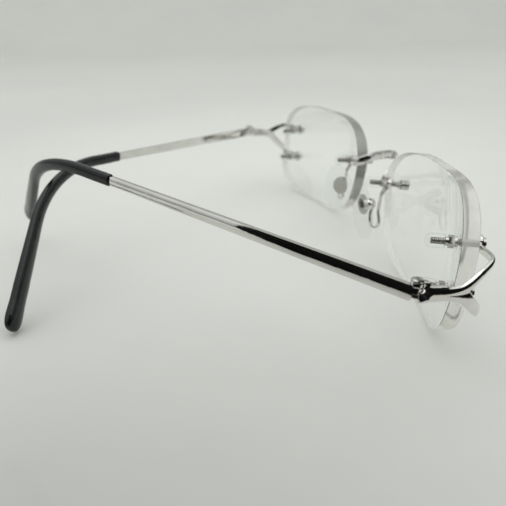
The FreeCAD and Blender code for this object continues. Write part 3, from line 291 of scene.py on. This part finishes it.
# the threads get a much darker copy of the screws' metal: painted shade in their grooves
thread_metal_painted_shade = polished_metal("rolled_thread_painted_shade", (0.22, 0.21, 0.19, 1), (0.12, 0.115, 0.10, 1), 0.28, 0.42)
silicone = clear_soft("clear_silicone", (0.98, 0.985, 0.98, 1), 1.35, 0.08, 0.18, 0.05)
plastic = clear_soft("clear_plastic", (0.98, 0.985, 0.975, 1), 1.40, 0.03, 0.09, 0.03)
sleeve = dark_sleeve()
for side in ("left", "right"):
    paint([f"lens_{side}"], lens_glass(side))
paint(sides("endpiece", "temple", "hinge_leaf", "pad_arm", "pad_box") + ["bridge"], bright)
paint(["outer_screws", "inner_screws", "outer_nuts", "inner_nuts", "pad_screws"]
      + sides("pad_core", "hinge_screw"), turned)
paint(["outer_washers", "inner_washers", "stud_caps"], plastic)
paint(sides("nose_pad"), silicone)
paint(sides("temple_tip"), sleeve)


# ---- edges softened by moulding and polishing -----------------------------------------------------

def soften(node_name, grain, passes):
    """Round the sharp edges of a CAD piece: a fine even skin, then a few passes of smoothing.

    Softened, an endpiece's skin crosses its hinge leaf's a little. Without this the two do not touch.
    """
    piece = nodes[node_name]
    skin = piece.modifiers.new("skin", "REMESH")
    skin.mode = "VOXEL"
    skin.voxel_size = grain
    skin.use_smooth_shade = True
    smooth = piece.modifiers.new("smooth", "SMOOTH")
    smooth.factor = 0.5
    smooth.iterations = passes


for kind, (grain, passes) in SOFTENING.items():
    for node_name in sides(kind):
        soften(node_name, grain * MM, passes)


# ---- soft nose pads -------------------------------------------------------------------------------

def points_of(node_name):
    """All points of a CAD node, in metres."""
    mesh = nodes[node_name].data
    flat = np.empty(len(mesh.vertices) * 3)
    mesh.vertices.foreach_get("co", flat)
    return flat.reshape(-1, 3)


def new_piece(name, points, faces, material, body):
    mesh = bpy.data.meshes.new(name)
    mesh.from_pydata([tuple(point) for point in points], [], faces)
    mesh.polygons.foreach_set("use_smooth", [True] * len(mesh.polygons))
    mesh.materials.append(material)
    piece = bpy.data.objects.new(name, mesh)
    bpy.context.scene.collection.objects.link(piece)
    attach(piece, body)
    return piece


def pad_axes(node_name):
    """Centre, half sizes and directions of a pad: up the pad, across it, and out towards the nose."""
    cloud = points_of(node_name)
    _, _, axes = np.linalg.svd(cloud - cloud.mean(axis=0), full_matrices=False)
    up, across, outward = axes
    up = up if up[2] > 0 else -up
    towards_nose = -np.sign(cloud[:, 0].mean())
    outward = outward if outward[0] * towards_nose > 0 else -outward
    across = np.cross(outward, up)
    frame_axes = np.array((up, across, outward))
    spans = cloud @ frame_axes.T
    low, high = spans.min(axis=0), spans.max(axis=0)
    return (low + high) / 2 @ frame_axes, (high - low) / 2, frame_axes


def soft_pad(side):
    """Crowned silicone pad, narrower at the top, dished behind round the collar that holds its core."""
    node_name = f"nose_pad_{side}"
    centre, (half_up, half_across, half_out), (up, across, outward) = pad_axes(node_name)
    # share of the outline, height over the middle of the pad as a share of its half thickness
    profile = [(0.30, 0.99), (0.58, 0.93), (0.80, 0.76), (0.93, 0.48), (0.99, 0.12), (0.985, -0.22),
               (0.93, -0.52), (0.84, -0.62), (0.66, -0.50), (0.54, -0.48), (0.47, -0.78), (0.43, -0.95),
               (0.30, -0.98)]
    around = 32
    points = [centre + outward * half_out]
    for share, height in profile:
        for step in range(around):
            angle = 2 * math.pi * step / around
            along = math.sin(angle)
            width = half_across * (1 - 0.10 * along - 0.05 * along * along)
            points.append(centre + up * half_up * share * along
                          + across * width * share * math.cos(angle) + outward * half_out * height)
    points.append(centre - outward * half_out)
    last = len(points) - 1
    faces = []
    for step in range(around):
        following = (step + 1) % around
        faces.append((0, 1 + step, 1 + following))
        for ring in range(len(profile) - 1):
            first, second = 1 + ring * around, 1 + (ring + 1) * around
            faces.append((first + step, second + step, second + following, first + following))
        first = 1 + (len(profile) - 1) * around
        faces.append((first + step, last, first + following))
    pad = new_piece(f"soft_pad_{side}", points, faces, silicone, f"pad_{side}")
    smooth = pad.modifiers.new("smooth", "SUBSURF")
    smooth.levels = smooth.render_levels = 1
    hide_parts(node_name)


for side in ("left", "right"):
    soft_pad(side)


# ---- screw threads --------------------------------------------------------------------------------

def rods(node_name):
    """Each screw of a CAD node as (middle of its head's face, middle of its end)."""
    two_screws, face_depth = 6 * MM, 0.02 * MM
    cloud = points_of(node_name)
    found = []
    for side in (-1, 1):
        mine = cloud[cloud[:, 0] * side > 0]
        middle = (mine[:, 2].min() + mine[:, 2].max()) / 2
        apart = np.ptp(mine[:, 2]) > two_screws
        groups = [mine[mine[:, 2] > middle], mine[mine[:, 2] <= middle]] if apart else [mine]
        for group in groups:
            _, _, axes = np.linalg.svd(group - group.mean(axis=0), full_matrices=False)
            axis = axes[0] if axes[0][1] > 0 else -axes[0]
            reach = group @ axis
            head = group[reach < reach.min() + face_depth].mean(axis=0)
            end = group[reach > reach.max() - face_depth].mean(axis=0)
            found.append((head, end))
    return found


def thread(name, head, end, head_length):
    """Rolled thread: a helical ridge on the plain rod, from under the head to the rod's end."""
    pitch, crest, root, past_end = 0.40 * MM, 0.70 * MM, 0.56 * MM, 0.03 * MM
    around, rows_a_turn = 20, 5
    axis = (end - head) / np.linalg.norm(end - head)
    side_axis = np.cross(axis, (0, 0, 1))
    side_axis /= np.linalg.norm(side_axis)
    top_axis = np.cross(side_axis, axis)
    start = head + axis * head_length
    length = np.linalg.norm(end - start) + past_end
    rows = int(length / pitch * rows_a_turn)
    points = [start]
    for row in range(rows + 1):
        distance = length * row / rows
        for step in range(around):
            turn = step / around
            phase = (distance / pitch - turn) % 1
            radius = root + (crest - root) * (1 - abs(2 * phase - 1))
            angle = 2 * math.pi * turn
            points.append(start + axis * distance
                          + (side_axis * math.cos(angle) + top_axis * math.sin(angle)) * radius)
    points.append(start + axis * length)
    last = len(points) - 1
    faces = []
    for step in range(around):
        following = (step + 1) % around
        faces.append((0, 1 + step, 1 + following))
        for row in range(rows):
            first, second = 1 + row * around, 1 + (row + 1) * around
            faces.append((first + step, second + step, second + following, first + following))
        first = 1 + rows * around
        faces.append((first + step, last, first + following))
    new_piece(name, points, faces, thread_metal_painted_shade, "front")


for kind, head_length in HEAD_LENGTH.items():
    for number, (head, end) in enumerate(rods(f"{kind}_screws"), start=1):
        thread(f"{kind}_thread_{number}", head, end, head_length * MM)


# ---- table, light and camera ----------------------------------------------------------------------

def table():
    """A flat table that curves up into a backdrop behind the lenses."""
    near_end, flat, bend, high, half_width = -1.2, 0.75, 0.35, 0.9, 1.6
    bend_steps, turned = 16, -11.5
    profile = [(near_end, 0.0), (0.0, 0.0), (flat, 0.0)]
    for step in range(1, bend_steps + 1):
        angle = math.pi / 2 * step / bend_steps
        profile.append((flat + bend * math.sin(angle), bend * (1 - math.cos(angle))))
    profile.append((flat + bend, high))
    mesh = bpy.data.meshes.new("table")
    points = [(x, y, z) for x, z in profile for y in (-half_width, half_width)]
    faces = [(2 * i, 2 * i + 1, 2 * i + 3, 2 * i + 2) for i in range(len(profile) - 1)]
    mesh.from_pydata(points, [], faces)
    mesh.polygons.foreach_set("use_smooth", [True] * len(faces))
    piece = bpy.data.objects.new("table", mesh)
    piece.rotation_euler = (0, 0, math.radians(turned))
    bpy.context.scene.collection.objects.link(piece)
    mesh.materials.append(table_paper())


def sky():
    """Soft studio surroundings, brighter overhead than low down, the more so in reflections."""
    world = bpy.data.worlds.new("studio")
    bpy.context.scene.world = world
    world.use_nodes = True
    tree = world.node_tree
    tree.nodes.clear()
    add = tree.nodes.new
    link = tree.links.new
    place = add("ShaderNodeTexCoord").outputs["Generated"]
    height = add("ShaderNodeSeparateXYZ")
    link(place, height.inputs[0])

    brightness = add("ShaderNodeMapRange")
    brightness.interpolation_type = "SMOOTHSTEP"
    link(height.outputs[2], brightness.inputs["Value"])
    for name, number in (("From Min", 0.0), ("From Max", 0.8), ("To Min", 0.5), ("To Max", 0.95)):
        brightness.inputs[name].default_value = number
    reflected = add("ShaderNodeMapRange")
    link(height.outputs[2], reflected.inputs["Value"])
    for name, number in (("From Min", 0.0), ("From Max", 0.7), ("To Min", 0.24), ("To Max", 1.0)):
        reflected.inputs[name].default_value = number
    path = add("ShaderNodeLightPath")
    strength = add("ShaderNodeMix")
    link(path.outputs["Is Glossy Ray"], strength.inputs["Factor"])
    link(brightness.outputs[0], strength.inputs["A"])
    link(reflected.outputs[0], strength.inputs["B"])
    back = add("ShaderNodeBackground")
    back.inputs["Color"].default_value = (0.98, 1.0, 0.98, 1)
    link(strength.outputs["Result"], back.inputs["Strength"])
    out = add("ShaderNodeOutputWorld")
    link(back.outputs[0], out.inputs["Surface"])


def dark_side():
    """The dark side of the room, close by the wearer's right: it shows only in reflections."""
    # x, y, foot and top of the cloth at each of its folds
    near = [(-56, 96, 28, 30), (-62, 94, 10, 70), (-69, 90, 0, 90), (-84, 80, 0, 95), (-101, 56, 0, 95),
            (-108, 22, 0, 95), (-105, -14, 0, 90), (-95, -32, 0, 90), (-80, -41, 0, 90), (-55, -45, 0, 85),
            (-38, -45, 5, 70), (-30, -44, 25, 40)]
    far = [(-74, 150, 0, 150), (-120, 110, 0, 160), (-138, 60, 0, 160)]
    points = []
    faces = []
    for stations in (near, far):
        for number, (x, y, low, high) in enumerate(stations):
            if number:
                last = len(points)
                faces.append((last - 2, last, last + 1, last - 1))
            points += [(x * MM, y * MM, low * MM), (x * MM, y * MM, high * MM)]
    mesh = bpy.data.meshes.new("dark_side")
    mesh.from_pydata(points, [], faces)
    s = Shader("dark_cloth")
    weave = s.noise(0.001, 3.0)
    cloth = s.blend(weave, (0.004, 0.004, 0.004, 1), (0.012, 0.012, 0.012, 1))
    height = s.add("ShaderNodeSeparateXYZ", {"Vector": s.place}).outputs["Z"]
    skirting = s.spread(height, 1, 0, 0.002, 0.004)
    s.surface(s.principled(Base_Color=s.blend(skirting, cloth, (0.10, 0.068, 0.052, 1)),
                           Roughness=1.0, Specular_IOR_Level=0.0))
    mesh.materials.append(s.material)
    piece = bpy.data.objects.new("dark_side", mesh)
    bpy.context.scene.collection.objects.link(piece)
    piece.visible_camera = False
    piece.visible_diffuse = False
    piece.visible_transmission = False
    piece.visible_shadow = False


def soft_light(name, place, aim, width, power):
    lamp = bpy.data.lights.new(name, "AREA")
    lamp.shape = "DISK"
    lamp.size = width
    lamp.energy = power
    piece = bpy.data.objects.new(name, lamp)
    piece.location = place
    piece.rotation_euler = (Vector(aim) - Vector(place)).to_track_quat("-Z", "Y").to_euler()
    bpy.context.scene.collection.objects.link(piece)


def camera():
    """Seen from the wearer's right and a little behind, close to the near hinge."""
    turn, rise, roll = math.radians(258.465), math.radians(23.647), math.radians(-1.615)
    back = Vector((math.sin(turn) * math.cos(rise), -math.cos(turn) * math.cos(rise), math.sin(rise)))
    level = (-back).cross(Vector((0, 0, 1))).normalized()
    up = level.cross(-back)
    right = level * math.cos(roll) + up * math.sin(roll)
    up = right.cross(-back)
    data = bpy.data.cameras.new("camera")
    data.lens = 40.39
    data.sensor_width = 36
    data.clip_start = 0.005
    data.clip_end = 10
    data.dof.use_dof = True
    data.dof.aperture_fstop = 30
    place = Vector((-144.78, 66.056, 64.683)) * MM
    focus_distance = 110 * MM
    sharp_at = bpy.data.objects.new("sharp_at", None)
    sharp_at.location = place - back * focus_distance
    bpy.context.scene.collection.objects.link(sharp_at)
    data.dof.focus_object = sharp_at
    piece = bpy.data.objects.new("camera", data)
    axes = Matrix((right, up, back)).transposed().to_4x4()
    piece.matrix_world = Matrix.Translation(place) @ axes
    bpy.context.scene.collection.objects.link(piece)
    bpy.context.scene.camera = piece


table()
sky()
dark_side()
soft_light("overhead", (0.1, 0.1, 0.9), (0, 0.05, 0), 0.9, 1.6)
soft_light("window", (-0.7, -0.5, 0.6), (0, 0.05, 0.02), 0.5, 0.6)
camera()
bpy.context.scene.view_settings.view_transform = "Standard"
